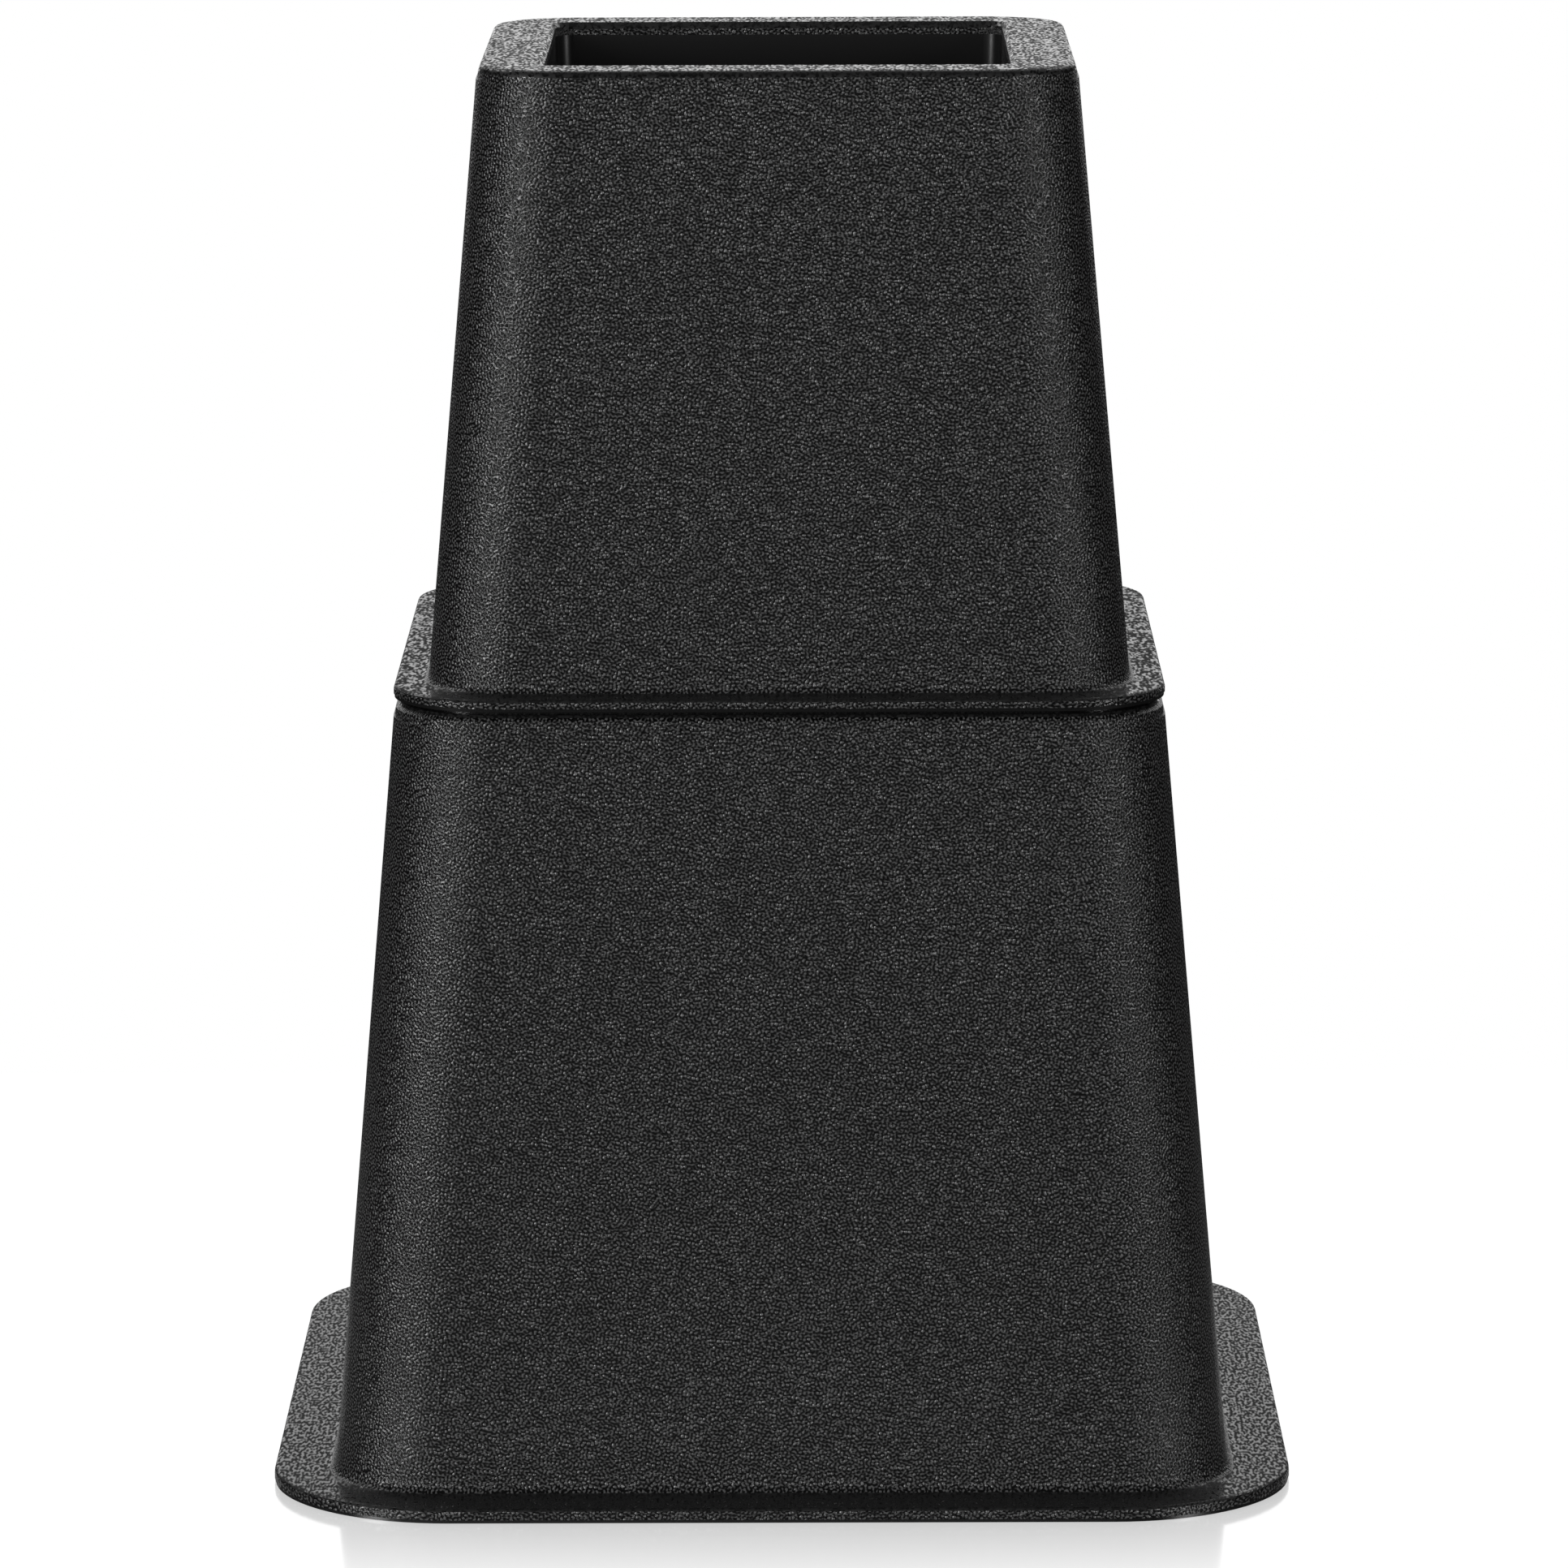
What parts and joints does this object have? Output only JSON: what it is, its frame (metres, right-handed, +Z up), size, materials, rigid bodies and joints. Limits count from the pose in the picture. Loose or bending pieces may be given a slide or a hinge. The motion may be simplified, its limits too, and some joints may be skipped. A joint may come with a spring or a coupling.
{
  "type": "bed riser",
  "caption": "Stacking square tapered bed riser in grained black plastic: a smaller flanged riser with a leg socket stands on the rim of a larger flanged riser.",
  "frame": {"origin": "on the floor, under the middle of the lower riser", "axes": "+Z up along the riser's axis, X and Y square to its sides, the picture's front side faces -Y"},
  "size_m": [0.1652, 0.1652, 0.2288],
  "materials": {
    "grained_plastic": "fine moulded grain outside, smooth in the socket and underneath"
  },
  "bodies": {
    "root": {"lower_riser": "grained_plastic", "upper_riser": "grained_plastic"}
  },
  "joints": []
}
